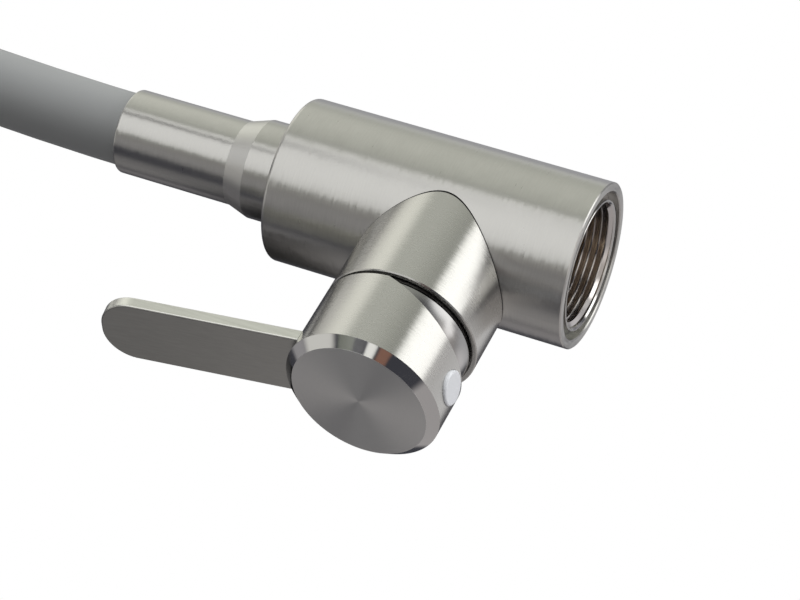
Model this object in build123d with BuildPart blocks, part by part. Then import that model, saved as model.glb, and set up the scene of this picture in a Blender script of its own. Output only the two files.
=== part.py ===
"""Kitchen mixer with a side lever and a flexible gooseneck spout. Millimetres.

The body stands on its threaded base at the origin and points up, +Z.
The cartridge branch and the handle point along +X, and the lever stands up beside the body.
The spout leaves the top of the body, leans towards +Y and arches over to an outlet that points down.
"""
import os
from math import cos, radians, sin, sqrt, tan

from build123d import *

os.makedirs("parts", exist_ok=True)

# Clearances
run_gap = 0.05  # radial, between turned faces that run on each other
face_gap = 0.1  # between flat faces that slide or turn on each other
free_gap = 0.3  # between pieces that pass each other
fit_gap = 0.1  # radial, between pieces that are assembled once
weld_seam = 0.12  # the fine line left where the side housing meets the body

# Body: an upright tube with a closed top
body_r = 24.0
body_wall = 2.7
body_h = 90.5
top_plate = 4.5
top_round = 1.2
edge_break = 0.3
soft_edge = 0.6

# Branch: the side housing that holds the cartridge
axis_h = 39.3
housing_r = 22.5
housing_reach = 18.0
housing_bore_r = 18.2
rim_wall = 1.6
rim_depth = 2.5

# Threaded ring in the base
socket_wall = 4.3
lip_wall = 2.0
socket_lip_z = 0.4
groove_depth = 3.2
socket_top = 12.0
socket_lead = 0.8

# Valve core: the block with the waterways
core_top_gap = 4.0
inlet_thread_r = 4.5
inlet_depth = 14.0
inlet_x = -4.0
inlet_pitch = 16.0
inlet_passage_r = 3.0
outlet_x = 3.0
outlet_passage_r = 4.0

# Cartridge, set in from the housing's end
cartridge_depth = 29.0
foot_t = 4.0
foot_step = 2.2
cartridge_r = 17.2
cartridge_wall = 1.6
cartridge_len = 20.0
roof_t = 3.0
neck_r = 12.5
neck_len = 4.0
inlet_rise = 5.0
outlet_drop = 8.5
seal_r = 1.0
seal_ring_r = 3.3
disc_t = 3.0
fixed_disc_r = 15.0
moving_disc_r = 10.2
moving_disc_t = 2.6
hollow_w = 17.0
hollow_h = 7.0
hollow_low = 1.0
disc_gap = 0.05
carrier_r = 10.4
carrier_t = 6.0

# Stem and the collar that it tips in, measured from the pin at the housing's end
ball_arm = 14.0
ball_r = 3.0
finger_r = 2.8
stem_side = 8.0
stem_foot = 3.5
stem_reach = 23.2
guide_r = 10.0
guide_reach = 3.6
guide_flange_r = 14.6
guide_flange_t = 3.2
slot_down = 5.9
slot_up = 7.8
pin_r = 2.0

# Clamp nut and trim dome
nut_inner_r = 12.9
nut_t = 4.0
notch_w = 5.0
notch_count = 4
dome_r = 20.8
dome_wall = 2.2
dome_foot_r = 20.4
dome_foot_up = 0.6
dome_neck_r = 19.8
dome_neck_w = 0.75
dome_reach = 12.0
dome_top_t = 1.6
dome_hole_r = 14.2

# Handle
cap_r = 22.5
cap_gap = 1.4
cap_len = 26.0
cap_bevel_in = 2.85
cap_bevel_back = 2.6
cap_front_t = 9.7
relief_angle = 20.3
relief_start = 1.8
hub_r = 8.6
hub_back = 4.3

# Lever
lever_w = 21.1
lever_t = 3.6
lever_lean = 7.7
lever_reach = 54.2
lever_back = 5.1
lever_corner = 9.6
lever_edge = 0.5
tenon_w = 9.0
tenon_depth = 4.0

# Grub screw under its cover
screw_back = 11.0
screw_turn = 9.0  # degrees about the branch, from straight down towards +Y
screw_r = 2.5
screw_len = 4.4
socket_flats = 2.5
socket_deep = 2.4
cover_r = 4.9
cover_seat = 1.2
cover_proud = 0.7
cover_stub_r = 2.3
cover_stub = 3.0

# Spout swivel
spigot_r = 11.0
spigot_len = 18.0
pocket_under = 2.0
pocket_r = 11.3
water_r = 6.0
collar_r = 14.6
washer_t = 0.8
collar_len = 10.9
cone_len = 6.4
ferrule_len = 35.6
ferrule_r = 12.5
ferrule_depth = 31.4
groove_r = 9.0
groove_w = 2.6
seal_rises = (4.0, 9.5)
swivel_seal_r = 1.05
clip_r = 13.0
clip_t = 1.2
clip_root_r = 9.8
clip_opening = 9.0

# Gooseneck
sleeve_r = 10.85
sleeve_wall = 1.3
armour_wall = 1.2
hose_wall = 1.5
lean_inside = 8.8
lean_r = 750.0
shoulder_r = 150.0
crown_r = 68.0
fall_r = 300.0
lean_turn = 10.0
shoulder_turn = 25.0
crown_turn = 110.0
drop = 12.0

# Outlet
outlet_grip = 30.0
outlet_web = 6.0
outlet_thread_r = 10.9
outlet_thread_len = 6.0
aerator_r = 13.0
aerator_len = 13.8
aerator_lip = 2.0
aerator_mouth_r = 9.4
flat_depth = 0.8
flat_height = 5.0
insert_t = 4.0
insert_hole_r = 0.85
insert_pitch = 3.1
insert_rings = 2
insert_first_ring = 6

# Places along the branch
housing_end = body_r + housing_reach
seat_x = housing_end - cartridge_depth
roof_x = seat_x + cartridge_len
pivot_x = housing_end
stem_foot_x = pivot_x - stem_foot
stem_end_x = pivot_x + stem_reach
guide_end = pivot_x + guide_reach
dome_top_x = pivot_x + dome_reach
cap_rear = housing_end + cap_gap
cap_face = cap_rear + cap_len
cap_ceiling = cap_face - cap_front_t
lever_front = cap_face - lever_back
screw_x = cap_face - screw_back

# Places up the body and the spout's collar
plate_under = body_h - top_plate
core_top = plate_under - core_top_gap
spigot_bottom = plate_under - spigot_len
spigot_pocket = spigot_bottom - pocket_under
cone_start = body_h + collar_len
ferrule_start = cone_start + cone_len
ferrule_end = ferrule_start + ferrule_len
ferrule_floor = ferrule_end - ferrule_depth
lean_start = ferrule_end - lean_inside
seal_heights = [spigot_bottom + rise for rise in seal_rises]

# Planes and axes
branch_axis = Axis((0, 0, axis_h), (1, 0, 0))
branch_section = Plane(origin=(0, 0, axis_h), x_dir=(1, 0, 0), z_dir=(0, -1, 0))


def across_branch(x):
    """A plane across the branch at x, with +Y to the right and +Z up."""
    return Plane(origin=(x, 0, axis_h), x_dir=(0, 1, 0), z_dir=(1, 0, 0))


def turned_on_branch(*points):
    """Revolve a closed outline of (distance along the branch, radius)."""
    with BuildSketch(branch_section) as outline:
        with BuildLine():
            Polyline(*points, close=True)
        make_face()
    revolve(outline.sketch, axis=branch_axis)


def turned_upright(*points, y=0.0):
    """Revolve a closed outline of (radius, height) about a vertical axis at y."""
    with BuildSketch(Plane(origin=(0, y, 0), x_dir=(1, 0, 0), z_dir=(0, -1, 0))) as outline:
        with BuildLine():
            Polyline(*points, close=True)
        make_face()
    revolve(outline.sketch, axis=Axis((0, y, 0), (0, 0, 1)))


# Derived sizes
body_bore_r = body_r - body_wall
core_r = body_bore_r - fit_gap
spigot_bore_r = spigot_r + run_gap
socket_thread_r = core_r - socket_wall
socket_lip_r = socket_thread_r + lip_wall
core_bottom = socket_top + fit_gap
rim_bore_r = housing_r - rim_wall
rim_floor = housing_end - rim_depth
cartridge_bore_r = cartridge_r - cartridge_wall
foot_x = seat_x + free_gap
fixed_disc_x = foot_x + foot_t
moving_disc_x = fixed_disc_x + disc_t + disc_gap
carrier_x = moving_disc_x + moving_disc_t
carrier_end = carrier_x + carrier_t
flange_end = roof_x - free_gap
roof_end = roof_x + roof_t
neck_end = roof_end + neck_len
ball_x = pivot_x - ball_arm
inlet_ports = ((-inlet_pitch / 2, inlet_rise), (inlet_pitch / 2, inlet_rise))
outlet_port = (0.0, -outlet_drop)
ports = (*inlet_ports, outlet_port)

# Body shell: tube, closed top with the spout's bore, round hole for the cartridge
with BuildPart() as body_shell:
    turned_upright(
        (body_bore_r, 0),
        (body_r, 0),
        (body_r, body_h),
        (spigot_bore_r, body_h),
        (spigot_bore_r, plate_under),
        (body_bore_r, plate_under),
    )
    top_edges = body_shell.edges().filter_by(GeomType.CIRCLE).group_by(Axis.Z)[-1]
    fillet(top_edges.sort_by(SortBy.RADIUS)[-1], top_round)
    base_edges = body_shell.edges().filter_by(GeomType.CIRCLE).group_by(Axis.Z)[0]
    chamfer(base_edges, edge_break)
    with BuildSketch(across_branch(0)):
        Circle(housing_bore_r)
    extrude(amount=housing_end, mode=Mode.SUBTRACT)
body_shell.part.label = "body_shell"
export_step(body_shell.part, "parts/body_shell.step")

# Side housing: a tube whose inner end is cut to the body's round wall
with BuildPart() as side_housing:
    turned_on_branch(
        (0, housing_bore_r),
        (0, housing_r),
        (housing_end, housing_r),
        (housing_end, rim_bore_r),
        (rim_floor, rim_bore_r),
        (rim_floor, housing_bore_r),
    )
    rim_edges = side_housing.edges().filter_by(GeomType.CIRCLE).group_by(Axis.X)[-1]
    chamfer(rim_edges, edge_break)
    with BuildSketch(Plane.XY):
        Circle(body_r + weld_seam)
    extrude(amount=body_h, mode=Mode.SUBTRACT)
side_housing.part.label = "side_housing"
export_step(side_housing.part, "parts/side_housing.step")

# Threaded ring: its lip stands in the mouth of the tube and leaves a groove for a seal
with BuildPart() as base_socket:
    turned_upright(
        (socket_thread_r + socket_lead, socket_lip_z),
        (socket_lip_r, socket_lip_z),
        (socket_lip_r, groove_depth),
        (body_bore_r - fit_gap, groove_depth),
        (body_bore_r - fit_gap, socket_top),
        (socket_thread_r, socket_top),
        (socket_thread_r, socket_lip_z + socket_lead),
    )
base_socket.part.label = "base_socket"
export_step(base_socket.part, "parts/base_socket.step")

# Valve core: two inlets from below, one waterway up to the spout
with BuildPart() as valve_core:
    with BuildSketch(Plane.XY.offset(core_bottom)):
        Circle(core_r)
    extrude(amount=core_top - core_bottom)
    with BuildSketch(across_branch(seat_x)):
        Circle(cartridge_r + fit_gap)
    extrude(amount=body_r, mode=Mode.SUBTRACT)
    with BuildSketch(Plane.XY.offset(spigot_pocket)):
        Circle(pocket_r)
    extrude(amount=core_top, mode=Mode.SUBTRACT)
    for radius, depth in (
        (inlet_thread_r, inlet_depth),
        (inlet_passage_r, axis_h + inlet_rise - core_bottom),
    ):
        with BuildSketch(Plane.XY.offset(core_bottom)):
            with Locations((inlet_x, -inlet_pitch / 2), (inlet_x, inlet_pitch / 2)):
                Circle(radius)
        extrude(amount=depth, mode=Mode.SUBTRACT)
    with BuildSketch(across_branch(inlet_x)):
        with Locations(*inlet_ports):
            Circle(inlet_passage_r)
    extrude(amount=seat_x - inlet_x, mode=Mode.SUBTRACT)
    with BuildSketch(across_branch(outlet_x)):
        with Locations(outlet_port):
            Circle(outlet_passage_r)
    extrude(amount=seat_x - outlet_x, mode=Mode.SUBTRACT)
    with BuildSketch(Plane.XY.offset(axis_h - outlet_drop)):
        with Locations((outlet_x, 0)):
            Circle(outlet_passage_r)
    extrude(amount=spigot_pocket - axis_h + outlet_drop, mode=Mode.SUBTRACT)
valve_core.part.label = "valve_core"
export_step(valve_core.part, "parts/valve_core.step")

# Cartridge foot with its three ports and the pockets of their seals
with BuildPart() as cartridge_foot:
    turned_on_branch(
        (foot_x, 0),
        (foot_x, cartridge_r),
        (foot_x + foot_step, cartridge_r),
        (foot_x + foot_step, cartridge_bore_r - fit_gap),
        (foot_x + foot_t, cartridge_bore_r - fit_gap),
        (foot_x + foot_t, 0),
    )
    with BuildSketch(across_branch(foot_x)):
        with Locations(*ports):
            Circle(seal_ring_r - seal_r)
    extrude(amount=foot_t, mode=Mode.SUBTRACT)
    with BuildSketch(across_branch(foot_x)):
        with Locations(*ports):
            Circle(seal_ring_r + seal_r + fit_gap)
    extrude(amount=2 * seal_r - free_gap, mode=Mode.SUBTRACT)
cartridge_foot.part.label = "cartridge_foot"
export_step(cartridge_foot.part, "parts/cartridge_foot.step")

# The three rubber rings between the foot and its seat
with BuildPart() as port_seals:
    with BuildSketch(across_branch(seat_x)):
        with Locations(*ports):
            Circle(seal_ring_r + seal_r)
            Circle(seal_ring_r - seal_r + fit_gap, mode=Mode.SUBTRACT)
    extrude(amount=2 * seal_r)
port_seals.part.label = "port_seals"
export_step(port_seals.part, "parts/port_seals.step")

# Fixed ceramic disc
with BuildPart() as fixed_disc:
    with BuildSketch(across_branch(fixed_disc_x)):
        Circle(fixed_disc_r)
        with Locations(*ports):
            Circle(seal_ring_r - seal_r, mode=Mode.SUBTRACT)
    extrude(amount=disc_t)
fixed_disc.part.label = "fixed_disc"
export_step(fixed_disc.part, "parts/fixed_disc.step")

# Moving ceramic disc, with the mixing hollow in its face
with BuildPart() as moving_disc:
    with BuildSketch(across_branch(moving_disc_x)):
        Circle(moving_disc_r)
    extrude(amount=moving_disc_t)
    with BuildSketch(across_branch(moving_disc_x)):
        with Locations((0, -hollow_low)):
            SlotOverall(hollow_w, hollow_h)
        with Locations((0, -(hollow_low + outlet_drop) / 2)):
            SlotOverall(outlet_drop, hollow_h, rotation=90)
    extrude(amount=moving_disc_t / 2, mode=Mode.SUBTRACT)
moving_disc.part.label = "moving_disc"
export_step(moving_disc.part, "parts/moving_disc.step")

# Carrier: holds the moving disc and takes the ball at the foot of the stem
with BuildPart() as disc_carrier:
    with BuildSketch(across_branch(carrier_x)):
        Circle(carrier_r)
    extrude(amount=carrier_t)
    with BuildSketch(across_branch(carrier_end)):
        Circle(ball_r + free_gap)
    extrude(amount=-(carrier_end - ball_x + ball_r + free_gap), mode=Mode.SUBTRACT)
disc_carrier.part.label = "disc_carrier"
export_step(disc_carrier.part, "parts/disc_carrier.step")

# Cartridge body: a cup with a neck for the turning guide
with BuildPart() as cartridge_body:
    turned_on_branch(
        (foot_x + foot_step + fit_gap, cartridge_bore_r),
        (foot_x + foot_step + fit_gap, cartridge_r),
        (roof_end, cartridge_r),
        (roof_end, neck_r),
        (neck_end, neck_r),
        (neck_end, guide_r + run_gap),
        (roof_x, guide_r + run_gap),
        (roof_x, cartridge_bore_r),
    )
cartridge_body.part.label = "cartridge_body"
export_step(cartridge_body.part, "parts/cartridge_body.step")

# Stem guide: turns in the neck, slotted for the stem and bored for its pin
with BuildPart() as stem_guide:
    turned_on_branch(
        (flange_end - guide_flange_t, 0),
        (flange_end - guide_flange_t, guide_flange_r),
        (flange_end, guide_flange_r),
        (flange_end, guide_r),
        (guide_end, guide_r),
        (guide_end, 0),
    )
    with BuildSketch(across_branch(0)):
        with Locations((0, (slot_up - slot_down) / 2)):
            Rectangle(stem_side + 2 * free_gap, slot_up + slot_down)
    extrude(amount=guide_end, mode=Mode.SUBTRACT)
    with BuildSketch(Plane.XZ):
        with Locations((pivot_x, axis_h)):
            Circle(pin_r)
    extrude(amount=guide_r, both=True, mode=Mode.SUBTRACT)
stem_guide.part.label = "stem_guide"
export_step(stem_guide.part, "parts/stem_guide.step")

# Pin that the stem tips on
with BuildPart() as stem_pin:
    with BuildSketch(Plane.XZ):
        with Locations((pivot_x, axis_h)):
            Circle(pin_r - run_gap / 2)
    extrude(amount=guide_r - 2 * free_gap, both=True)
stem_pin.part.label = "stem_pin"
export_step(stem_pin.part, "parts/stem_pin.step")

# Stem: square shank, round finger and a ball that moves the disc
with BuildPart() as stem:
    with BuildSketch(across_branch(stem_foot_x)):
        Rectangle(stem_side, stem_side)
    extrude(amount=stem_end_x - stem_foot_x)
    chamfer(stem.faces().sort_by(Axis.X)[-1].edges(), soft_edge)
    with BuildSketch(across_branch(ball_x)):
        Circle(finger_r)
    extrude(amount=stem_foot_x - ball_x)
    with Locations((ball_x, 0, axis_h)):
        Sphere(ball_r)
    with BuildSketch(Plane.XZ):
        with Locations((pivot_x, axis_h)):
            Circle(pin_r + run_gap)
    extrude(amount=stem_side, both=True, mode=Mode.SUBTRACT)
stem.part.label = "stem"
export_step(stem.part, "parts/stem.step")

# Clamp nut with spanner notches
with BuildPart() as cartridge_nut:
    turned_on_branch(
        (roof_end, nut_inner_r),
        (roof_end, housing_bore_r - fit_gap),
        (roof_end + nut_t, housing_bore_r - fit_gap),
        (roof_end + nut_t, nut_inner_r),
    )
    with BuildSketch(across_branch(roof_end + nut_t)):
        with PolarLocations(nut_inner_r, notch_count):
            Rectangle(notch_w, notch_w)
    extrude(amount=-nut_t / 2, mode=Mode.SUBTRACT)
cartridge_nut.part.label = "cartridge_nut"
export_step(cartridge_nut.part, "parts/cartridge_nut.step")

# Trim dome: a round collar centred on the stem's pin, so the tipping handle rolls over it
dome_inner_r = dome_r - dome_wall
neck_from = rim_floor + rim_depth + dome_foot_up
dome_from = neck_from + dome_neck_w


def round_at(radius, x):
    """Radius of a sphere on the stem's pin, at x along the branch."""
    return sqrt(radius**2 - (x - pivot_x) ** 2)


dome_inner_top = dome_top_x - dome_top_t
with BuildPart() as trim_dome:
    with BuildSketch(branch_section):
        with BuildLine():
            foot = Polyline(
                (rim_floor, round_at(dome_inner_r, rim_floor)),
                (rim_floor, dome_foot_r),
                (neck_from, dome_foot_r),
                (neck_from, dome_neck_r),
                (dome_from, dome_neck_r),
                (dome_from, round_at(dome_r, dome_from)),
            )
            outside = RadiusArc(foot @ 1, (dome_top_x, round_at(dome_r, dome_top_x)), dome_r)
            top = Polyline(
                outside @ 1,
                (dome_top_x, dome_hole_r),
                (dome_inner_top, dome_hole_r),
                (dome_inner_top, round_at(dome_inner_r, dome_inner_top)),
            )
            RadiusArc(top @ 1, foot @ 0, -dome_inner_r)
        make_face()
    revolve(axis=branch_axis)
trim_dome.part.label = "trim_dome"
export_step(trim_dome.part, "parts/trim_dome.step")

# The plane of the lever's broad outer face, and the outline of a bar that lies along it
lever_plane = Plane(
    origin=(lever_front, 0, axis_h + cap_r),
    x_dir=(0, 1, 0),
    z_dir=(1, 0, -tan(radians(lever_lean))),
)


def bar_outline(width, low, high):
    """A rectangle across the lever's width, from low to high along the lever."""
    with BuildSketch(lever_plane) as outline:
        with Locations((0, (low + high) / 2)):
            Rectangle(width, high - low)
    return outline.sketch


# The plane that the grub screw and its cover lie square to, facing outwards
screw_lean = radians(screw_turn)
screw_plane = Plane(
    origin=(screw_x, 0, axis_h),
    x_dir=(1, 0, 0),
    z_dir=(0, sin(screw_lean), -cos(screw_lean)),
)

# Handle cap: turned with a round hollow, bevelled at the face, cut back at an angle behind
cap_hollow_r = dome_r + free_gap
hub_from = cap_ceiling - hub_back
relief_depth = (relief_start + cap_r) * tan(radians(relief_angle))
with BuildPart() as handle_cap:
    with BuildSketch(branch_section):
        with BuildLine():
            shape = Polyline(
                (cap_rear, round_at(cap_hollow_r, cap_rear)),
                (cap_rear, cap_r),
                (cap_face - cap_bevel_back, cap_r),
                (cap_face, cap_r - cap_bevel_in),
                (cap_face, 0),
                (hub_from, 0),
                (hub_from, hub_r),
                (cap_ceiling, hub_r),
                (cap_ceiling, round_at(cap_hollow_r, cap_ceiling)),
            )
            RadiusArc(shape @ 1, shape @ 0, -cap_hollow_r)
        make_face()
    revolve(axis=branch_axis)
    with BuildSketch(Plane.XZ):
        with BuildLine():
            Polyline(
                (cap_rear, axis_h + relief_start),
                (cap_rear + relief_depth, axis_h - cap_r),
                (cap_rear, axis_h - cap_r),
                close=True,
            )
        make_face()
    extrude(amount=cap_r, both=True, mode=Mode.SUBTRACT)
    with BuildSketch(across_branch(hub_from)):
        Rectangle(stem_side + 2 * fit_gap, stem_side + 2 * fit_gap)
    extrude(amount=stem_end_x - hub_from + free_gap, mode=Mode.SUBTRACT)
    with BuildSketch(screw_plane):
        Circle(screw_r + fit_gap)
    extrude(amount=cap_r, mode=Mode.SUBTRACT)
    with BuildSketch(screw_plane.offset(cap_r)):
        Circle(cover_r + fit_gap)
    extrude(amount=-cover_seat, mode=Mode.SUBTRACT)
    slot = bar_outline(tenon_w + 2 * fit_gap, -tenon_depth - fit_gap, lever_t)
    extrude(slot, amount=fit_gap, mode=Mode.SUBTRACT)
    extrude(slot, amount=-lever_t - fit_gap, mode=Mode.SUBTRACT)
handle_cap.part.label = "handle_cap"
export_step(handle_cap.part, "parts/handle_cap.step")

# Lever: a flat bar that leans out, rounded at the tip, with a tenon let into the cap
with BuildPart() as lever:
    extrude(bar_outline(lever_w, -cap_r, lever_reach), amount=-lever_t)
    tip_corners = lever.edges().filter_by(Axis((0, 0, 0), lever_plane.z_dir))
    fillet(tip_corners.group_by(Axis.Z)[-1], lever_corner)
    broad_faces = lever.faces().filter_by(Axis((0, 0, 0), lever_plane.z_dir))
    fillet(broad_faces.edges(), lever_edge)
    with BuildSketch(across_branch(0)):
        Circle(cap_r + run_gap)
    extrude(amount=cap_face, mode=Mode.SUBTRACT)
    extrude(bar_outline(tenon_w, -tenon_depth, lever_t), amount=-lever_t)
lever.part.label = "lever"
export_step(lever.part, "parts/lever.step")

# Grub screw that holds the cap on the stem, with its hexagon socket outwards
screw_tip = (stem_side / 2 + fit_gap + screw_r * sin(screw_lean)) / cos(screw_lean)
with BuildPart() as grub_screw:
    with BuildSketch(screw_plane.offset(screw_tip)):
        Circle(screw_r)
    extrude(amount=screw_len)
    chamfer(grub_screw.edges().filter_by(GeomType.CIRCLE), edge_break)
    with BuildSketch(screw_plane.offset(screw_tip + screw_len)):
        RegularPolygon(socket_flats / 2, 6, major_radius=False)
    extrude(amount=-socket_deep, mode=Mode.SUBTRACT)
grub_screw.part.label = "grub_screw"
export_step(grub_screw.part, "parts/grub_screw.step")

# Screw cover: a small domed button with a stub in the screw's hole
cover_plane = screw_plane.offset(cap_r - cover_seat)
with BuildPart() as screw_cover:
    with BuildSketch(cover_plane):
        Circle(cover_r)
    extrude(amount=cover_seat + cover_proud)
    outer_rim = screw_cover.edges().filter_by(GeomType.CIRCLE).group_by(Axis.Z)[0]
    fillet(outer_rim, cover_proud)
    with BuildSketch(cover_plane):
        Circle(cover_stub_r)
    extrude(amount=-cover_stub)
screw_cover.part.label = "screw_cover"
export_step(screw_cover.part, "parts/screw_cover.step")

# Bearing washer between the body's top and the spout's collar
washer_top = body_h + washer_t
with BuildPart() as swivel_washer:
    turned_upright(
        (spigot_bore_r + fit_gap, body_h),
        (collar_r - 2 * free_gap, body_h),
        (collar_r - 2 * free_gap, washer_top),
        (spigot_bore_r + fit_gap, washer_top),
    )
swivel_washer.part.label = "swivel_washer"
export_step(swivel_washer.part, "parts/swivel_washer.step")

# Spout collar: spigot, collar, cone and ferrule turned from one bar
clip_top = plate_under - free_gap
clip_groove = (clip_top - clip_t - fit_gap, clip_top + fit_gap)
with BuildPart() as spout_collar:
    turned_upright(
        (water_r, spigot_bottom),
        (spigot_r, spigot_bottom),
        (spigot_r, washer_top + face_gap),
        (collar_r, washer_top + face_gap),
        (collar_r, cone_start),
        (ferrule_r, ferrule_start),
        (ferrule_r, ferrule_end),
        (sleeve_r + fit_gap, ferrule_end),
        (sleeve_r + fit_gap, ferrule_floor),
        (water_r, ferrule_floor),
    )
    rims = spout_collar.edges().filter_by(GeomType.CIRCLE)
    fillet(rims.group_by(Axis.Z)[-1].sort_by(SortBy.RADIUS)[-1], soft_edge)
    chamfer(rims.group_by(Axis.Z)[0].sort_by(SortBy.RADIUS)[-1], edge_break)
    grooves = [(z, z + groove_w, groove_r) for z in seal_heights]
    grooves.append((*clip_groove, clip_root_r))
    for low, high, root in grooves:
        with BuildSketch(Plane.XY.offset(low)):
            Circle(spigot_r + run_gap)
            Circle(root, mode=Mode.SUBTRACT)
        extrude(amount=high - low, mode=Mode.SUBTRACT)
spout_collar.part.label = "spout_collar"
export_step(spout_collar.part, "parts/spout_collar.step")

# Rubber rings in the spigot's grooves
with BuildPart() as swivel_seals:
    for z in seal_heights:
        with Locations((0, 0, z + groove_w / 2)):
            Torus(groove_r + run_gap + swivel_seal_r, swivel_seal_r)
swivel_seals.part.label = "swivel_seals"
export_step(swivel_seals.part, "parts/swivel_seals.step")

# Open clip that keeps the spigot in the body's top
with BuildPart() as swivel_clip:
    with BuildSketch(Plane.XY.offset(clip_top - clip_t)):
        Circle(clip_r)
        Circle(clip_root_r + fit_gap, mode=Mode.SUBTRACT)
        with Locations((0, -clip_r)):
            Rectangle(clip_opening, clip_r, mode=Mode.SUBTRACT)
    extrude(amount=clip_t)
swivel_clip.part.label = "swivel_clip"
export_step(swivel_clip.part, "parts/swivel_clip.step")

# The gooseneck's centre line: straight in the ferrule, a slow lean, the crown, a straight drop
neck_bends = (
    (lean_r, lean_turn),
    (shoulder_r, shoulder_turn),
    (crown_r, crown_turn),
    (shoulder_r, shoulder_turn),
    (fall_r, lean_turn),
)
with BuildLine(Plane.YZ) as neck_path:
    run = Line((0, ferrule_floor + free_gap), (0, lean_start))
    for bend_radius, bend_angle in neck_bends:
        run = JernArc(run @ 1, run % 1, bend_radius, -bend_angle)
    fall = Line(run @ 1, (run @ 1) + (run % 1) * (drop + outlet_grip - free_gap))
neck_start = Plane(origin=(0, 0, ferrule_floor + free_gap), x_dir=(1, 0, 0), z_dir=(0, 0, 1))


def neck_tube(outer, wall):
    """A round tube along the gooseneck's centre line."""
    with BuildSketch(neck_start) as ring:
        Circle(outer)
        Circle(outer - wall, mode=Mode.SUBTRACT)
    sweep(ring.sketch, path=neck_path.line)


# Silicone sleeve, the bendable metal hose inside it and the water hose in the middle
with BuildPart() as spout_sleeve:
    neck_tube(sleeve_r, sleeve_wall)
spout_sleeve.part.label = "spout_sleeve"
export_step(spout_sleeve.part, "parts/spout_sleeve.step")

armour_r = sleeve_r - sleeve_wall - fit_gap
with BuildPart() as neck_armour:
    neck_tube(armour_r, armour_wall)
neck_armour.part.label = "neck_armour"
export_step(neck_armour.part, "parts/neck_armour.step")

with BuildPart() as inner_hose:
    neck_tube(armour_r - armour_wall - fit_gap, hose_wall)
inner_hose.part.label = "inner_hose"
export_step(inner_hose.part, "parts/inner_hose.step")

# Outlet ferrule: grips the sleeve's end and carries the aerator on a short thread
outlet_y = (fall @ 1).Y
sleeve_end = (fall @ 1).Z
outlet_mouth = sleeve_end - free_gap + outlet_grip
outlet_floor = sleeve_end - free_gap
outlet_shoulder = outlet_floor - outlet_web
thread_end = outlet_shoulder - outlet_thread_len
with BuildPart() as outlet_ferrule:
    turned_upright(
        (sleeve_r + fit_gap, outlet_mouth),
        (ferrule_r, outlet_mouth),
        (ferrule_r, outlet_shoulder),
        (outlet_thread_r, outlet_shoulder),
        (outlet_thread_r, thread_end),
        (water_r, thread_end),
        (water_r, outlet_floor),
        (sleeve_r + fit_gap, outlet_floor),
        y=outlet_y,
    )
    outlet_rims = outlet_ferrule.edges().filter_by(GeomType.CIRCLE).group_by(Axis.Z)
    fillet(outlet_rims[-1].sort_by(SortBy.RADIUS)[-1], soft_edge)
outlet_ferrule.part.label = "outlet_ferrule"
export_step(outlet_ferrule.part, "parts/outlet_ferrule.step")

# Aerator housing: screws on the ferrule, with two flats for a spanner
aerator_top = outlet_shoulder - face_gap
aerator_end = aerator_top - aerator_len
lip_top = aerator_end + aerator_lip
with BuildPart() as aerator_housing:
    turned_upright(
        (outlet_thread_r + fit_gap, aerator_top),
        (aerator_r, aerator_top),
        (aerator_r, aerator_end),
        (aerator_mouth_r, aerator_end),
        (aerator_mouth_r, lip_top),
        (outlet_thread_r + fit_gap, lip_top),
        y=outlet_y,
    )
    outer_rims = aerator_housing.edges().filter_by(GeomType.CIRCLE)
    chamfer(outer_rims.group_by(Axis.Z)[0].sort_by(SortBy.RADIUS)[-1], soft_edge)
    with BuildSketch(Plane.XY.offset(aerator_end)):
        for side in (-1, 1):
            with Locations((side * aerator_r, outlet_y)):
                Rectangle(2 * flat_depth, 2 * aerator_r)
    extrude(amount=flat_height, mode=Mode.SUBTRACT)
aerator_housing.part.label = "aerator_housing"
export_step(aerator_housing.part, "parts/aerator_housing.step")

# Aerator insert: a perforated puck that rests on the housing's lip
with BuildPart() as aerator_insert:
    with BuildSketch(Plane.XY.offset(lip_top)):
        with Locations((0, outlet_y)):
            Circle(outlet_thread_r)
        with Locations((0, outlet_y)):
            Circle(insert_hole_r, mode=Mode.SUBTRACT)
        for ring in range(1, insert_rings + 1):
            with Locations((0, outlet_y)):
                with PolarLocations(ring * insert_pitch, insert_first_ring * ring):
                    Circle(insert_hole_r, mode=Mode.SUBTRACT)
    extrude(amount=insert_t)
aerator_insert.part.label = "aerator_insert"
export_step(aerator_insert.part, "parts/aerator_insert.step")

# Flat washer between the insert and the thread's end
washer_foot = lip_top + insert_t
with BuildPart() as aerator_washer:
    with BuildSketch(Plane.XY.offset(washer_foot)):
        with Locations((0, outlet_y)):
            Circle(outlet_thread_r)
            Circle(water_r + 2 * free_gap, mode=Mode.SUBTRACT)
    extrude(amount=thread_end - washer_foot)
aerator_washer.part.label = "aerator_washer"
export_step(aerator_washer.part, "parts/aerator_washer.step")

sleeve_length = sum(edge.length for edge in neck_path.edges())
print("sleeve length", round(sleeve_length, 1))
print("outlet at y", round(outlet_y, 1), "mouth", round(outlet_mouth, 1), "end", round(aerator_end, 1))
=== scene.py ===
# %% [markdown]
# # A kitchen mixer with a flexible spout
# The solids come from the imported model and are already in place, in metres. This file gives them their
# looks: brushed and polished steel, silicone, rubber, brass and plastic. It also makes the few pieces whose
# shape is finer than the solids: the screw thread in the base and the soft skin of the spout, which has to
# bend.

# %% Load the fixed frame
from math import cos, pi, radians, sin

import bpy
from mathutils import Matrix, Vector


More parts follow.
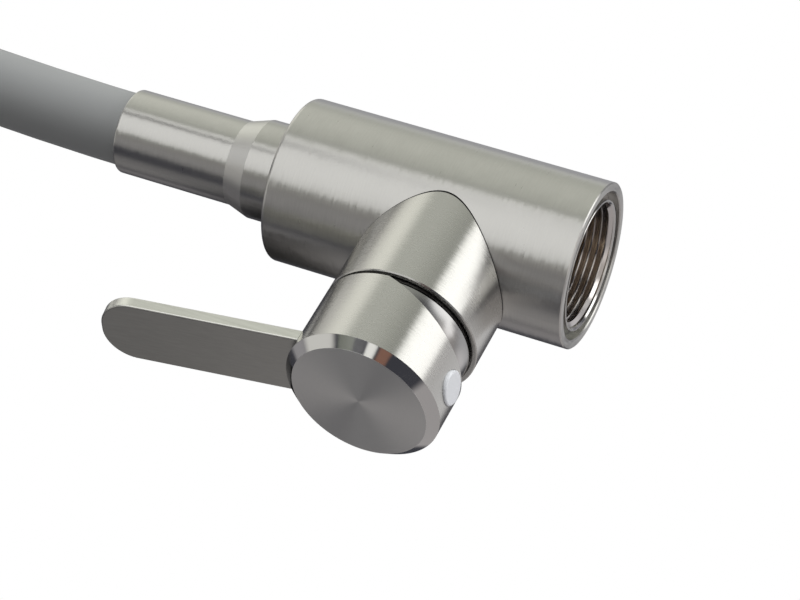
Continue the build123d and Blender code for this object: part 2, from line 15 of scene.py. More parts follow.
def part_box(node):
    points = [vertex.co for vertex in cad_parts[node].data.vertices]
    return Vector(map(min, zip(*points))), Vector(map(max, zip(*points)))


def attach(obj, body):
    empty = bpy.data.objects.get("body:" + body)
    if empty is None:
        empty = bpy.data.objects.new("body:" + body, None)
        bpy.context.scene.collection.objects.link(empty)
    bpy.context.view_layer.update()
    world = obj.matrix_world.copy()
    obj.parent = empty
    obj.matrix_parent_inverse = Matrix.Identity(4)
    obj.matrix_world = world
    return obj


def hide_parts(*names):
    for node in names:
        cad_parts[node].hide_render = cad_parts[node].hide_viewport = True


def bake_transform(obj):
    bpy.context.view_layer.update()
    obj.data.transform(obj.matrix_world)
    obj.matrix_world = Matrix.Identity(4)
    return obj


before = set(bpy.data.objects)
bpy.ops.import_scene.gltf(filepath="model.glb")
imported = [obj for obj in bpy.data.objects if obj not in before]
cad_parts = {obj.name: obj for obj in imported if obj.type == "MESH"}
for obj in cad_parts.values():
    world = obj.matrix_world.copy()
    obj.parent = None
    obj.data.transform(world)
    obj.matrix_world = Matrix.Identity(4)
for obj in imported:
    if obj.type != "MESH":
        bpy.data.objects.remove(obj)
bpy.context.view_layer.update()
mm = 0.001

# %% [markdown]
# ## The camera
# The mixer was photographed lying on its side, from below its base and from the side that the spout leans
# to. Here it stands up, so the camera goes below it and is rolled instead. A long lens keeps the tubes
# almost parallel, as a product photographer would want.

# %% Camera at the photograph's angle
camera_place = Vector((0.505350, 0.570774, -0.189417))
camera_aim = Vector((0.048490, 0.020254, 0.035764))
camera_up = Vector((-0.680217, 0.678226, 0.278055))
lens_mm = 127.787

forward = (camera_aim - camera_place).normalized()
right = forward.cross(camera_up).normalized()
upward = right.cross(forward)
camera_data = bpy.data.cameras.new("camera")
camera_data.lens = lens_mm
camera_data.sensor_width = 36.0
camera_data.clip_start = 0.01
camera = bpy.data.objects.new("camera", camera_data)
bpy.context.scene.collection.objects.link(camera)
camera.matrix_world = Matrix((
    (right.x, upward.x, -forward.x, camera_place.x),
    (right.y, upward.y, -forward.y, camera_place.y),
    (right.z, upward.z, -forward.z, camera_place.z),
    (0, 0, 0, 1),
))
bpy.context.scene.camera = camera
bpy.context.scene.view_settings.view_transform = "Standard"
print("camera distance", round((camera_aim - camera_place).length, 3))

# %% [markdown]
# ## A small helper for node trees
# Every finish below is a tree of nodes. One helper adds a node, fills its inputs with numbers or with other
# nodes' outputs, and hands back an output, so that a tree reads like a formula.


# %% The node helper
def put(tree, kind, values=(), out=0, **settings):
    """Add a node, fill its inputs by order or by name, and return one of its outputs."""
    made = tree.nodes.new(kind)
    for key, value in settings.items():
        setattr(made, key, value)
    pairs = values.items() if isinstance(values, dict) else enumerate(values)
    for key, value in pairs:
        if isinstance(value, bpy.types.NodeSocket):
            tree.links.new(value, made.inputs[key])
        elif value is not None:
            made.inputs[key].default_value = value
    return made.outputs[out] if made.outputs else None


def number(tree, operation, *values):
    """A Math node."""
    return put(tree, "ShaderNodeMath", values, operation=operation)


def vector(tree, operation, *values):
    """A Vector Math node that gives a vector."""
    return put(tree, "ShaderNodeVectorMath", values, operation=operation)


def measure(tree, operation, *values):
    """A Vector Math node that gives a number, such as a length."""
    return put(tree, "ShaderNodeVectorMath", values, out="Value", operation=operation)


def ramp(tree, value, low, high, first=0.0, last=1.0):
    """A smooth step from first to last as value goes from low to high."""
    return put(tree, "ShaderNodeMapRange", (value, low, high, first, last), interpolation_type="SMOOTHSTEP")


def blend_numbers(tree, share, a, b):
    """a where share is 0 and b where it is 1."""
    return put(tree, "ShaderNodeMix", {0: share, 2: a, 3: b}, data_type="FLOAT")


def blend_vectors(tree, share, a, b):
    """Colour or vector a where share is 0 and b where it is 1."""
    return put(tree, "ShaderNodeMix", {0: share, 4: a, 5: b}, out=1, data_type="VECTOR")


def scaled(tree, value, factor):
    """A vector or colour times a number."""
    return put(tree, "ShaderNodeVectorMath", {"Vector": value, "Scale": factor}, operation="SCALE")


def to_world(tree, direction):
    """A direction in the piece's own space, turned into the world's for the shader's tangent."""
    spaces = {"convert_from": "OBJECT", "convert_to": "WORLD"}
    return put(tree, "ShaderNodeVectorTransform", (direction,), vector_type="VECTOR", **spaces)


# %% [markdown]
# ## Soft studio light
# Polished metal shows the room more than itself, so the light is a room of large soft cards. Each card is a
# patch of the sky with a soft edge. Cards are placed where the bright and dark bands of the real tubes
# point. The camera itself sees plain white behind the mixer.

# %% Studio cards round the object
room_glow = (0.052, 0.053, 0.064)
studio_cards = (
    # where it stands, half its width, its soft edge in degrees, its light
    ((0.31, 0.90, 0.29), 32.5, 2, (0.97, 0.97, 0.95)),
    ((-0.61, 0.41, -0.68), 20, 4, (1.9, 1.9, 1.87)),
    ((-0.56, 0.16, 0.81), 29, 5, (0.60, 0.59, 0.55)),
    ((-0.80, 0.55, 0.18), 41, 11, (0.45, 0.46, 0.40)),
    ((-0.88, -0.38, 0.22), 20, 8, (0.34, 0.34, 0.35)),
    ((-0.61, -0.47, -0.63), 26, 7, (0.60, 0.595, 0.595)),
    ((0.35, -0.74, -0.58), 46, 5, (0.35, 0.33, 0.32)),
    ((0.62, -0.70, 0.32), 17, 8, (0.152, 0.147, 0.14)),
    ((0.93, 0.22, 0.25), 14, 6, (0.28, 0.27, 0.26)),
    ((0.06, -0.96, 0.27), 10, 5, (0.17, 0.16, 0.16)),
    ((0.50, 0.12, 0.86), 18, 5, (0.66, 0.65, 0.61)),
    ((0.24, -0.33, 0.91), 10, 5, (0.28, 0.27, 0.27)),
    ((0.73, 0.47, 0.50), 8, 3, (0.17, 0.18, 0.14)),
    ((0.83, 0.555, 0.06), 5, 1.5, (1.0, 1.0, 0.95)),
    ((0.84, 0.51, -0.17), 6, 2, (0.22, 0.09, 0.04)),
    ((0.36, 0.43, -0.83), 17, 6, (1.0, 1.0, 0.98)),
    ((-0.05, 0.10, -0.99), 22, 8, (0.42, 0.39, 0.36)),
    ((-0.29, 0.14, -0.95), 9, 3, (1.5, 1.5, 1.5)),
)

world = bpy.data.worlds.new("studio")
bpy.context.scene.world = world
world.use_nodes = True
sky = world.node_tree
sky.nodes.clear()
looking = put(sky, "ShaderNodeTexCoord", out="Generated")
light = put(sky, "ShaderNodeCombineXYZ", room_glow)
for place, half_width, soft_edge, strength in studio_cards:
    facing = measure(sky, "DOT_PRODUCT", looking, Vector(place).normalized())
    share = ramp(sky, facing, cos(radians(half_width + soft_edge)), cos(radians(half_width - soft_edge)))
    light = vector(sky, "ADD", light, scaled(sky, strength, share))
seen = put(sky, "ShaderNodeLightPath", out="Is Camera Ray")
lit = put(sky, "ShaderNodeBackground", {"Color": light})
plain = put(sky, "ShaderNodeBackground", {"Color": (1, 1, 1, 1)})
put(sky, "ShaderNodeOutputWorld", (put(sky, "ShaderNodeMixShader", (seen, lit, plain)),))
print("studio cards", len(studio_cards))

# %% [markdown]
# Matte pieces show no cards, only how much light falls on them. A wide lamp lights the sleeve from above,
# as the mixer lay in the photograph, a second one lights the white button from the side of the base, and a
# weak third one lifts the far side. All are left out of the reflections, where the cards already do this
# work.

# %% Lamps for the matte pieces
for name, place, energy, spread_deg in (
    ("overhead lamp", (-0.38, 0.88, 0.28), 2.15, 50),
    ("base side lamp", (-0.20, 0.15, -0.97), 1.2, 40),
    ("far side lamp", (-0.25, -0.95, 0.20), 0.9, 50),
):
    lamp_data = bpy.data.lights.new(name, "SUN")
    lamp_data.energy = energy
    lamp_data.angle = radians(spread_deg)
    lamp = bpy.data.objects.new(name, lamp_data)
    lamp.rotation_euler = Vector(place).to_track_quat("Z", "Y").to_euler()
    lamp.visible_glossy = False
    bpy.context.scene.collection.objects.link(lamp)

# %% [markdown]
# A photographer holds a black flag beside a polished object to put a dark edge on it. One stands beside the
# lever here. Only reflections show it.

# %% Black flag beside the lever
flag_ends = ((0.0065, -0.0705), (0.084, -0.0425))
flag_low = (0.072, 0.097)
flag_top = 0.128
flag_corners = [(*flag_ends[0], flag_low[0]), (*flag_ends[1], flag_low[1])]
flag_corners += [(*flag_ends[1], flag_top), (*flag_ends[0], flag_top)]
flag_mesh = bpy.data.meshes.new("flag")
flag_mesh.from_pydata(flag_corners, [], [(0, 1, 2, 3)])
flag = bpy.data.objects.new("flag", flag_mesh)
bpy.context.scene.collection.objects.link(flag)
for ray in ("visible_camera", "visible_diffuse", "visible_transmission", "visible_shadow"):
    setattr(flag, ray, False)
flag_material = bpy.data.materials.new("black flag")
flag_material.use_nodes = True
tree = flag_material.node_tree
tree.nodes.clear()
place = put(tree, "ShaderNodeTexCoord", out="Object")
weave = put(tree, "ShaderNodeTexNoise", {"Vector": place, "Scale": 400.0})
cloth = put(tree, "ShaderNodeBsdfDiffuse", {"Color": scaled(tree, (0.02, 0.02, 0.02), weave)})
put(tree, "ShaderNodeOutputMaterial", (cloth,))
flag_mesh.materials.append(flag_material)

# %% [markdown]
# ## The floor
# A plain pale floor lies under the base. The photograph's view comes from below it, so the floor is
# one-sided: its underside is clear, and it fades out towards its edge into the white of the room.

# %% Pale floor
floor_half = 1.6
floor_fade = (0.5, floor_half * 0.95)
floor_drop = 0.3 * mm
floor_mesh = bpy.data.meshes.new("floor")
corners = [(x * floor_half, y * floor_half, -floor_drop) for x, y in ((-1, -1), (1, -1), (1, 1), (-1, 1))]
floor_mesh.from_pydata(corners, [], [(0, 1, 2, 3)])
floor = bpy.data.objects.new("floor", floor_mesh)
bpy.context.scene.collection.objects.link(floor)
for ray in ("visible_diffuse", "visible_glossy", "visible_transmission", "visible_shadow"):
    setattr(floor, ray, False)
floor_material = bpy.data.materials.new("pale floor")
floor_material.use_nodes = True
tree = floor_material.node_tree
tree.nodes.clear()
paper = put(tree, "ShaderNodeBsdfPrincipled", {
    "Base Color": (0.72, 0.72, 0.71, 1),
    "Roughness": 0.8,
    "Emission Color": (1, 1, 1, 1),
    "Emission Strength": 0.5,
})
from_middle = measure(tree, "LENGTH", put(tree, "ShaderNodeTexCoord", out="Object"))
edge = ramp(tree, from_middle, *floor_fade)
under = put(tree, "ShaderNodeNewGeometry", out="Backfacing")
clear = number(tree, "MAXIMUM", edge, under)
faded = put(tree, "ShaderNodeMixShader", (clear, paper, put(tree, "ShaderNodeBsdfTransparent")))
put(tree, "ShaderNodeOutputMaterial", (faded,))
floor_mesh.materials.append(floor_material)

# %% [markdown]
# ## Sizes from the frame
# The places that the finishes need, such as where the polished bevel starts, are read from the solids.

# %% Sizes read from the solids
body_low, body_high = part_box("body_shell")
branch_low, branch_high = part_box("side_housing")
cap_low, cap_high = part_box("handle_cap")
outlet_low, outlet_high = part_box("aerator_housing")
socket_low, socket_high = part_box("base_socket")

upright = Vector((0, 0, 1))
sideways = Vector((1, 0, 0))
body_middle = Vector((0, 0, 0))
branch_middle = Vector((0, 0, (branch_low.z + branch_high.z) / 2))
outlet_middle = Vector((0, (outlet_low.y + outlet_high.y) / 2, 0))
body_r = body_high.x
cap_r = cap_high.y
cap_face = cap_high.x
bevel_in = 2.85 * mm
bevel_back = 2.6 * mm
print("body radius", round(body_r, 4), "cap face at", round(cap_face, 4))
print("outlet at y", round(outlet_middle.y, 4))

# %% [markdown]
# ## Turned and brushed steel
# A belt or a lathe tool leaves fine lines round the axis. They show in three ways: the colour and the gloss
# waver a little from line to line, every highlight is drawn out across the lines, and its edge is ragged,
# because each line leans a little to one side. So this finish works out, at each point, the distance along
# the axis and the radius. Noise that is stretched round the axis makes the lines, it tilts the surface
# sideways, and the shader's tangent follows it. A band of the same piece can be polished or matte. Where
# the branch meets the body, the weld left a fine dark line, which is found by the distance from the body's
# axis.


# %% Turned steel
lines_per_metre = 2100.0
line_breaks = 5.0
patches_per_metre = 160.0
tone_waver, tone_drift = 0.09, 0.04
gloss_waver, gloss_drift = 0.06, 0.05
line_tilt = 0.09
seam_edge = 1.002
seam_colour = (0.02, 0.02, 0.02)
seam_roughness = 0.7


def turned_metal(name, centre, along, colour, roughness, grain=1.0, spread=0.85, bands=(), seam_r=0.0):
    """Metal with lines round an axis. A band is low, high, inner, outer, colour, roughness, grain."""
    material = bpy.data.materials.new(name)
    material.use_nodes = True
    tree = material.node_tree
    tree.nodes.clear()
    place = put(tree, "ShaderNodeTexCoord", out="Object")
    local = vector(tree, "SUBTRACT", place, centre)
    height = measure(tree, "DOT_PRODUCT", local, along)
    shaft = scaled(tree, along, height)
    outwards = vector(tree, "SUBTRACT", local, shaft)
    radius = measure(tree, "LENGTH", outwards)
    ray = vector(tree, "NORMALIZE", outwards)
    around = vector(tree, "CROSS_PRODUCT", along, ray)

    across = number(tree, "ADD", height, radius)
    spaced = scaled(tree, along, number(tree, "MULTIPLY", across, lines_per_metre))
    stretched = vector(tree, "ADD", scaled(tree, ray, line_breaks), spaced)
    lines = put(tree, "ShaderNodeTexNoise", {
        "Vector": stretched,
        "Scale": 1.0,
        "Detail": 2.0,
        "Roughness": 0.6,
    })
    cloud = put(tree, "ShaderNodeTexNoise", {
        "Vector": place,
        "Scale": patches_per_metre,
        "Detail": 3.0,
        "Roughness": 0.6,
    })

    depth = grain
    tone = tuple(colour)
    gloss = roughness
    for low, high, inner, outer, band_colour, band_roughness, band_grain in bands:
        in_length = number(tree, "MULTIPLY", number(tree, "GREATER_THAN", height, low),
                           number(tree, "LESS_THAN", height, high))
        in_radius = number(tree, "MULTIPLY", number(tree, "GREATER_THAN", radius, inner),
                           number(tree, "LESS_THAN", radius, outer))
        inside = number(tree, "MULTIPLY", in_length, in_radius)
        depth = blend_numbers(tree, inside, depth, band_grain)
        tone = blend_vectors(tree, inside, tone, band_colour)
        gloss = blend_numbers(tree, inside, gloss, band_roughness)

    if seam_r:
        from_upright = measure(tree, "LENGTH", vector(tree, "MULTIPLY", place, (1, 1, 0)))
        seam = ramp(tree, from_upright, seam_r * seam_edge, seam_r, 0.0, 1.0)
        tone = blend_vectors(tree, seam, tone, seam_colour)
        gloss = blend_numbers(tree, seam, gloss, seam_roughness)

    waver = number(tree, "MULTIPLY", number(tree, "SUBTRACT", lines, 0.5), depth)
    drift = number(tree, "MULTIPLY", number(tree, "SUBTRACT", cloud, 0.5), depth)
    toned = number(tree, "MULTIPLY_ADD", waver, tone_waver, 1.0)
    shade = number(tree, "ADD", toned, number(tree, "MULTIPLY", drift, tone_drift))
    painted = scaled(tree, tone, shade)
    patchy = number(tree, "MULTIPLY", drift, gloss_drift)
    worn = number(tree, "ADD", gloss, number(tree, "MULTIPLY_ADD", waver, gloss_waver, patchy))
    tangent = to_world(tree, around)
    tilt = scaled(tree, tangent, number(tree, "MULTIPLY", waver, line_tilt))
    normal = put(tree, "ShaderNodeNewGeometry", out="Normal")
    tilted = vector(tree, "NORMALIZE", vector(tree, "ADD", normal, tilt))
    shader = put(tree, "ShaderNodeBsdfPrincipled", {
        "Base Color": painted,
        "Metallic": 1.0,
        "Roughness": worn,
        "Anisotropic": spread,
        "Anisotropic Rotation": 0.25,
        "Tangent": tangent,
        "Normal": tilted,
    })
    put(tree, "ShaderNodeOutputMaterial", (shader,))
    return material


steel = (0.66, 0.652, 0.625)
# A finish that has no end on one side runs on for a metre, well past the mixer.
shaft_clear = 1.0
everywhere = (-shaft_clear, shaft_clear)

body_steel = turned_metal("brushed steel body", body_middle, upright, steel, 0.30, grain=1.4)
seam_line = 0.32 * mm
branch_steel = turned_metal("brushed steel branch", branch_middle, sideways, steel, 0.27, grain=0.6,
                            seam_r=body_r + seam_line)

# %% [markdown]
# ## The handle cap
# One turned piece carries three finishes: a brushed side, a bevel polished like a mirror and a fine-turned
# face, whose colour is also painted lighter as a painted highlight. The bands are found by the distance
# along the branch and the radius.

# %% Cap with a polished bevel
bevel_start = cap_face - bevel_back
face_r = cap_r - bevel_in
hair = 0.05 * mm
bevel_polish = (0.72, 0.715, 0.70)
# The face is a fine-turned finish, and its colour is painted lighter than the side's steel as a painted
# highlight.
face_steel_painted_lighter = (0.80, 0.795, 0.775)
cap_steel = turned_metal("brushed steel cap", branch_middle, sideways, steel, 0.27, grain=0.6, bands=(
    (bevel_start + hair, shaft_clear, face_r + hair, shaft_clear, bevel_polish, 0.10, 0.25),
    (cap_face - hair, shaft_clear, -shaft_clear, face_r + hair, face_steel_painted_lighter, 0.30, 0.6),
))

# %% [markdown]
# ## The spout's collar
# The ferrule and the collar are brushed like the body. The cone between them was left with a fine matte
# finish, which shows as a pale band.

# %% Collar with a matte cone
cone_start = 101.4 * mm
cone_end = 107.8 * mm
cone_steel = (0.86, 0.85, 0.82)
collar_steel = turned_metal("brushed steel collar", body_middle, upright, steel, 0.30, grain=1.2, bands=(
    (cone_start, cone_end, *everywhere, cone_steel, 0.52, 0.25),
))
outlet_steel = turned_metal("brushed steel outlet", outlet_middle, upright, steel, 0.30)

# %% [markdown]
# ## Bright turned pieces
# The collar under the cap, the ring in the base and the small fasteners are turned and polished. The collar
# under the cap is painted darker than the other steel, as painted shade under the cap's edge; its foot
# inside the housing is painted darker still, and its neck is painted black as the shadow in the groove.

# %% Bright steel, brass and the screw's steel
dome_neck = (42.6 * mm, 43.36 * mm)
# Painted shade on the collar under the cap: its whole colour, its darker foot and its black neck stand in
# for the shade and shadow round the cap's edge and in the groove.
dome_painted_shade, foot_painted_shade, neck_painted_shadow = (0.46, 0.455, 0.45), (0.30, 0.295, 0.29), (0.02, 0.02, 0.02)
dome_bands = (
    (-shaft_clear, dome_neck[0], *everywhere, foot_painted_shade, 0.25, 0.3),
    (*dome_neck, *everywhere, neck_painted_shadow, 0.5, 0.2),
)
dome_steel = turned_metal("bright dome", branch_middle, sideways, dome_painted_shade, 0.24, 0.5, 0.3, dome_bands)
ring_grey, thread_grey, pin_grey = (0.72, 0.71, 0.69), (0.72, 0.69, 0.67), (0.62, 0.61, 0.59)
ring_steel = turned_metal("bright ring", body_middle, upright, ring_grey, 0.13, grain=0.5, spread=0.3)
thread_steel = turned_metal("cut thread", body_middle, upright, thread_grey, 0.15, grain=0.8, spread=0.3)
pin_steel = turned_metal("pin steel", branch_middle, sideways, pin_grey, 0.25, grain=0.4, spread=0.2)
dull_brass, clean_brass = (0.64, 0.51, 0.38), (0.70, 0.52, 0.25)
brass = turned_metal("machined brass", body_middle, upright, dull_brass, 0.30, spread=0.3)
branch_brass = turned_metal("turned brass", branch_middle, sideways, clean_brass, 0.28, spread=0.3)

# %% [markdown]
# ## The lever's steel
# The flat lever was brushed along its length, so its lines run straight. They come from noise that is
# squeezed across the lever and stretched along it. Its narrow edges are painted brighter than its two
# faces, a painted highlight where they catch the light, and the surface's own direction tells the two
# apart.


# %% Lever with lengthwise lines
lever_lines = (1600.0, 1600.0, 22.0)
lever_patches = 90.0
lever_tone_waver, lever_tone_drift = 0.30, 0.10
lever_gloss_waver = 0.15
edge_starts, edge_ends = 0.65, 0.45


def brushed_flat(name, colour, edge_highlight_colour, roughness, lean_deg):
    """Metal with straight lines along a bar that leans from upright towards +X, and a painted highlight on
    its edges.
    """
    material = bpy.data.materials.new(name)
    material.use_nodes = True
    tree = material.node_tree
    tree.nodes.clear()
    place = put(tree, "ShaderNodeTexCoord", out="Object")
    squeezed = put(tree, "ShaderNodeMapping", {
        "Vector": place,
        "Rotation": (0, radians(-lean_deg), 0),
        "Scale": lever_lines,
    }, vector_type="POINT")
    lines = put(tree, "ShaderNodeTexNoise", {
        "Vector": squeezed,
        "Scale": 1.0,
        "Detail": 4.0,
        "Roughness": 0.6,
    })
    cloud = put(tree, "ShaderNodeTexNoise", {"Vector": place, "Scale": lever_patches, "Detail": 2.0})
    waver = number(tree, "SUBTRACT", lines, 0.5)
    drift = number(tree, "SUBTRACT", cloud, 0.5)
    toned = number(tree, "MULTIPLY_ADD", waver, lever_tone_waver, 1.0)
    shade = number(tree, "ADD", toned, number(tree, "MULTIPLY", drift, lever_tone_drift))
    flat_side = Vector((cos(radians(lean_deg)), 0, -sin(radians(lean_deg))))
    outward = put(tree, "ShaderNodeTexCoord", out="Normal")
    facing = number(tree, "ABSOLUTE", measure(tree, "DOT_PRODUCT", outward, flat_side))
    on_face = ramp(tree, facing, edge_ends, edge_starts)
    # Painted highlight: the narrow edges get the paler colour, the faces the darker one.
    painted = scaled(tree, blend_vectors(tree, on_face, edge_highlight_colour, colour), shade)
    worn = number(tree, "MULTIPLY_ADD", waver, lever_gloss_waver, roughness)
    bump = put(tree, "ShaderNodeBump", {"Strength": 0.3, "Distance": 0.02 * mm, "Height": waver})
    lengthwise = Vector((sin(radians(lean_deg)), 0, cos(radians(lean_deg))))
    tangent = to_world(tree, lengthwise)
    shader = put(tree, "ShaderNodeBsdfPrincipled", {
        "Base Color": painted,
        "Metallic": 1.0,
        "Roughness": worn,
        "Anisotropic": 0.5,
        "Anisotropic Rotation": 0.25,
        "Tangent": tangent,
        "Normal": bump,
    })
    put(tree, "ShaderNodeOutputMaterial", (shader,))
    return material


lever_lean = 7.7
lever_steel = brushed_flat("brushed steel lever", (0.505, 0.50, 0.47), (0.88, 0.88, 0.83), 0.34, lever_lean)

# %% [markdown]
# ## Plastics, rubber and ceramic
# These are moulded or pressed pieces: an even colour with a very fine grain, and a gloss that wavers a
# little.


# %% Moulded finishes
moulded_patches = 35.0
moulded_gloss_waver = 0.12


def moulded(name, colour, roughness, grain_size, unevenness, grain_depth, **sockets):
    """A non-metal with a fine grain in its colour, gloss and surface."""
    material = bpy.data.materials.new(name)
    material.use_nodes = True
    tree = material.node_tree
    tree.nodes.clear()
    place = put(tree, "ShaderNodeTexCoord", out="Object")
    fine = put(tree, "ShaderNodeTexNoise", {"Vector": place, "Scale": 1 / grain_size, "Detail": 3.0})
    wide = put(tree, "ShaderNodeTexNoise", {"Vector": place, "Scale": moulded_patches, "Detail": 2.0})
    uneven = number(tree, "ADD", number(tree, "SUBTRACT", fine, 0.5), number(tree, "SUBTRACT", wide, 0.5))
    shade = number(tree, "MULTIPLY_ADD", uneven, unevenness, 1.0)
    painted = scaled(tree, colour, shade)
    worn = number(tree, "MULTIPLY_ADD", uneven, moulded_gloss_waver, roughness)
    bump = put(tree, "ShaderNodeBump", {"Strength": 0.4, "Distance": grain_depth, "Height": fine})
    values = {"Base Color": painted, "Roughness": worn, "Normal": bump}
    values.update({key.replace("_", " "): value for key, value in sockets.items()})
    put(tree, "ShaderNodeOutputMaterial", (put(tree, "ShaderNodeBsdfPrincipled", values),))
    return material


sleeve_grey = (0.262, 0.269, 0.271)
silicone = moulded("grey silicone", sleeve_grey, 0.52, 0.25 * mm, 0.06, 0.01 * mm, Specular_IOR_Level=0.35)
button_white = moulded("white button", (0.62, 0.635, 0.665), 0.28, 0.4 * mm, 0.03, 0.004 * mm)
dark_rubber = moulded("black rubber", (0.022, 0.022, 0.022), 0.6, 0.2 * mm, 0.15, 0.02 * mm)
grey_plastic = moulded("grey plastic", (0.16, 0.165, 0.17), 0.42, 0.3 * mm, 0.08, 0.01 * mm)
pale_plastic = moulded("pale plastic", (0.62, 0.64, 0.65), 0.35, 0.3 * mm, 0.05, 0.006 * mm)
ceramic = moulded("white ceramic", (0.80, 0.77, 0.71), 0.15, 0.5 * mm, 0.03, 0.001 * mm)

# %% [markdown]
# ## Finishes for the solids that stay
# Each solid whose shape is right keeps its mesh and only gets its material.

# %% Give each solid its finish
finishes = {
    body_steel: ["body_shell"],
    branch_steel: ["side_housing"],
    cap_steel: ["handle_cap"],
    collar_steel: ["spout_collar"],
    outlet_steel: ["outlet_ferrule", "aerator_housing"],
    dome_steel: ["trim_dome"],
    pin_steel: ["stem_pin", "grub_screw", "swivel_clip"],
    brass: ["valve_core"],
    branch_brass: ["cartridge_nut", "stem"],
    lever_steel: ["lever"],
    button_white: ["screw_cover"],
    dark_rubber: ["port_seals", "swivel_seals", "aerator_washer"],
    grey_plastic: ["cartridge_foot", "cartridge_body", "stem_guide", "disc_carrier", "swivel_washer"],
    pale_plastic: ["aerator_insert"],
    ceramic: ["fixed_disc", "moving_disc"],
}
for material, names in finishes.items():
    for name in names:
        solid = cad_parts[name]
        solid.data.materials.clear()
        solid.data.materials.append(material)
print("solids finished", sum(len(names) for names in finishes.values()))

# %% [markdown]
# ## Geometry Nodes into plain meshes
# The thread and the tubes of the spout follow a line, so Geometry Nodes sweep them. Each tree has named
# inputs. The result is then turned into a plain mesh, because the export and the posing need one.


# %% Helpers for Geometry Nodes
def new_tree(name, inputs):
    """An empty tree with a geometry input and output and the named inputs."""
    tree = bpy.data.node_groups.new(name, "GeometryNodeTree")
    tree.interface.new_socket("Geometry", in_out="INPUT", socket_type="NodeSocketGeometry")
    for label, kind in inputs.items():
        tree.interface.new_socket(label, in_out="INPUT", socket_type=kind)
    tree.interface.new_socket("Geometry", in_out="OUTPUT", socket_type="NodeSocketGeometry")
    return tree, tree.nodes.new("NodeGroupInput").outputs


def close_tree(tree, geometry, material):
    """End a tree in Realize Instances and Set Material."""
    real = put(tree, "GeometryNodeRealizeInstances", (geometry,))
    finished = put(tree, "GeometryNodeSetMaterial", {"Geometry": real, "Material": material})
    put(tree, "NodeGroupOutput", (finished,))


def grow(host, tree, values):
    """Run a tree on a host object with these inputs and return the result as a plain mesh object."""
    modifier = host.modifiers.new("shape", "NODES")
    modifier.node_group = tree
    for item in tree.interface.items_tree:
        if item.in_out == "INPUT" and item.name in values:
            modifier[item.identifier] = values[item.name]
    return flatten(host)


def flatten(host):
    """Turn an object and its modifiers into a plain mesh object of the same name."""
    bpy.context.view_layer.update()
    graph = bpy.context.evaluated_depsgraph_get()
    mesh = bpy.data.meshes.new_from_object(host.evaluated_get(graph), depsgraph=graph)
    name = host.name
    bpy.data.objects.remove(host)
    plain_object = bpy.data.objects.new(name, mesh)
    plain_object.name = name
    bpy.context.scene.collection.objects.link(plain_object)
    return plain_object


def smooth(piece, crease_deg=40):
    """Smooth shading with creases kept sharp."""
    piece.data.polygons.foreach_set("use_smooth", [True] * len(piece.data.polygons))
    piece.data.set_sharp_from_angle(angle=radians(crease_deg))
    return piece


# %% [markdown]
# ## The threaded ring in the base
# The ring stands in the mouth of the body with a groove round it. Its outline is turned about the axis,
# with a small lead-in at the mouth. Its bore is cut to the thread's root, and the thread itself is a ridge
# wound on a spiral inside it, which starts just above the lead-in. The spiral node winds to the left, so it
# is reversed for the usual right-hand thread, and the triangle is turned half round so that its tip still
# points inwards.


# %% Turned ring
def turn(name, outline, segments=160):
    """A closed outline of (radius, height) turned about the Z axis."""
    count = len(outline)
    points = []
    for step in range(segments):
        angle = 2 * pi * step / segments
        points += [(r * cos(angle), r * sin(angle), z) for r, z in outline]
    faces = []
    for step in range(segments):
        here = step * count
        there = (step + 1) % segments * count
        for i in range(count):
            j = (i + 1) % count
            faces.append((here + i, there + i, there + j, here + j))
    mesh = bpy.data.meshes.new(name)
    mesh.from_pydata(points, [], faces)
    piece = bpy.data.objects.new(name, mesh)
    bpy.context.scene.collection.objects.link(piece)
    return piece


thread_root_r = 17.95 * mm
thread_pitch = 2.0 * mm
lip_r = 18.9 * mm
lip_edge = 0.12 * mm
lead_in = 0.45 * mm
groove_floor = 3.2 * mm
ring_low, ring_top, ring_r = socket_low.z, socket_high.z, socket_high.x

base_ring = turn("base_ring", [
    (thread_root_r, ring_low + lead_in),
    (thread_root_r + lead_in, ring_low),
    (lip_r - lip_edge, ring_low),
    (lip_r, ring_low + lip_edge),
    (lip_r, groove_floor),
    (ring_r, groove_floor),
    (ring_r, ring_top),
    (thread_root_r, ring_top),
])
base_ring.data.materials.append(ring_steel)
smooth(base_ring)
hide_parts("base_socket")
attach(base_ring, "body")

# %% Thread ridge on a spiral
tree, given = new_tree("thread ridge", {
    "Radius": "NodeSocketFloat",
    "Turns": "NodeSocketFloat",
    "Length": "NodeSocketFloat",
    "Ridge": "NodeSocketFloat",
    "Flatten": "NodeSocketVector",
    "Start": "NodeSocketVector",
    "Start Turn": "NodeSocketRotation",
    "Material": "NodeSocketMaterial",
})
spiral = put(tree, "GeometryNodeCurveSpiral", {
    "Resolution": 120,
    "Rotations": given["Turns"],
    "Start Radius": given["Radius"],
    "End Radius": given["Radius"],
    "Height": given["Length"],
    "Reverse": True,
})
level = put(tree, "GeometryNodeSetCurveNormal", {"Curve": spiral}, mode="Z_UP")
triangle = put(tree, "GeometryNodeCurvePrimitiveCircle", {"Resolution": 3, "Radius": given["Ridge"]})
profile = put(tree, "GeometryNodeTransform", {
    "Geometry": triangle,
    "Rotation": (0, 0, pi),
    "Scale": given["Flatten"],
})
swept = put(tree, "GeometryNodeCurveToMesh", {"Curve": level, "Profile Curve": profile, "Fill Caps": True})
placed = put(tree, "GeometryNodeTransform", {
    "Geometry": swept,
    "Translation": given["Start"],
    "Rotation": given["Start Turn"],
})
close_tree(tree, placed, given["Material"])

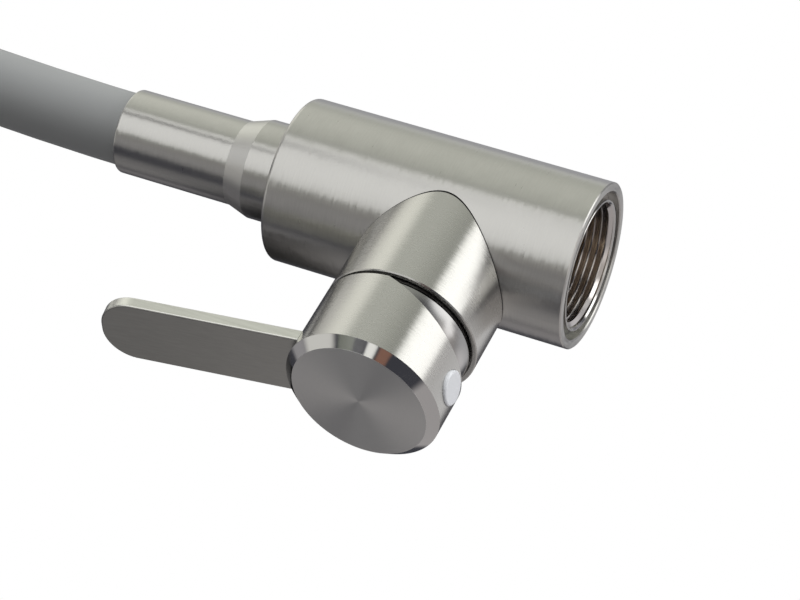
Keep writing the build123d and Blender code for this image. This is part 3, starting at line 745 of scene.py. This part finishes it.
ridge_size = 0.72 * mm
ridge_start = ring_low + 1.15 * mm
ridge_start_turn = radians(150)
ridge_end_gap = 0.9 * mm
ridge_length = ring_top - ridge_start - ridge_end_gap
thread_host = bpy.data.objects.new("base_thread", bpy.data.meshes.new("host"))
bpy.context.scene.collection.objects.link(thread_host)
base_thread = grow(thread_host, tree, {
    "Radius": thread_root_r - ridge_size / 2,
    "Turns": ridge_length / thread_pitch,
    "Length": ridge_length,
    "Ridge": ridge_size,
    "Flatten": (1.0, 1.3, 1.0),
    "Start": (0, 0, ridge_start),
    "Start Turn": (0, 0, ridge_start_turn),
    "Material": thread_steel,
})
smooth(base_thread, 30)
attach(base_thread, "body")
print("thread turns", round(ridge_length / thread_pitch, 2), "faces", len(base_thread.data.polygons))

# %% [markdown]
# ## The flexible spout
# A wound steel hose holds the bend, a water hose runs inside it, and a grey silicone sleeve covers both.
# Its centre line is a few arcs, one after the other, from the collar over the crown and down to the outlet.
# The three tubes are swept along that line.


# %% Centre line of the spout
lean_start = 134.6 * mm
spout_foot = 112.3 * mm
neck_bends = ((750, 10), (150, 25), (68, 110), (150, 25), (300, 10))
neck_fall = 41.7 * mm
arc_step = radians(1.5)


def neck_line():
    """Points along the spout's centre line, in the plane x = 0."""
    points = [(0.0, spout_foot), (0.0, lean_start)]
    y, z, heading = 0.0, lean_start, pi / 2
    for radius_mm, degrees in neck_bends:
        bend_r = radius_mm * mm
        centre_y = y + bend_r * sin(heading)
        centre_z = z - bend_r * cos(heading)
        steps = round(radians(degrees) / arc_step)
        for step in range(1, steps + 1):
            turned = heading - radians(degrees) * step / steps
            points.append((centre_y - bend_r * sin(turned), centre_z + bend_r * cos(turned)))
        heading -= radians(degrees)
        y, z = points[-1]
    points.append((y + neck_fall * cos(heading), z + neck_fall * sin(heading)))
    return [(0.0, a, b) for a, b in points]


spout_line = neck_line()
print("spout ends at", [round(value, 4) for value in spout_line[-1]])

# %% Tubes swept along the line
tree, given = new_tree("tube along a line", {
    "Radius": "NodeSocketFloat",
    "Sides": "NodeSocketInt",
    "Material": "NodeSocketMaterial",
})
line_step = 2.5 * mm
spaced = {"Curve": given["Geometry"], "Length": line_step}
spread_points = put(tree, "GeometryNodeResampleCurve", spaced, mode="LENGTH")
level = put(tree, "GeometryNodeSetCurveNormal", {"Curve": spread_points}, mode="MINIMUM_TWIST")
rim = {"Resolution": given["Sides"], "Radius": given["Radius"]}
circle = put(tree, "GeometryNodeCurvePrimitiveCircle", rim)
swept = put(tree, "GeometryNodeCurveToMesh", {"Curve": level, "Profile Curve": circle, "Fill Caps": False})
close_tree(tree, swept, given["Material"])


def neck_tube(name, outer, wall, sides, material):
    """A tube with a real wall along the spout's line."""
    curve = bpy.data.curves.new(name, "CURVE")
    curve.dimensions = "3D"
    spline = curve.splines.new("POLY")
    spline.points.add(len(spout_line) - 1)
    for point, where in zip(spline.points, spout_line):
        point.co = (*where, 1)
    host = bpy.data.objects.new(name, curve)
    bpy.context.scene.collection.objects.link(host)
    tube = grow(host, tree, {"Radius": outer, "Sides": sides, "Material": material})
    thick = tube.modifiers.new("wall", "SOLIDIFY")
    thick.thickness = wall
    thick.offset = -1
    return smooth(flatten(tube))


sleeve_low, sleeve_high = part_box("spout_sleeve")
armour_low, armour_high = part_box("neck_armour")
hose_low, hose_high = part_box("inner_hose")
neck_sleeve = neck_tube("neck_sleeve", sleeve_high.x, 1.3 * mm, 96, silicone)
neck_coil = neck_tube("neck_coil", armour_high.x, 1.2 * mm, 48, pin_steel)
neck_hose = neck_tube("neck_hose", hose_high.x, 1.5 * mm, 32, pale_plastic)
for piece, node, slot in (
    (neck_sleeve, "spout_sleeve", "silicone"),
    (neck_coil, "neck_armour", "turned_steel"),
    (neck_hose, "inner_hose", "hose_liner"),
):
    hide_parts(node)
    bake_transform(piece)
    print(piece.name, "faces", len(piece.data.polygons))
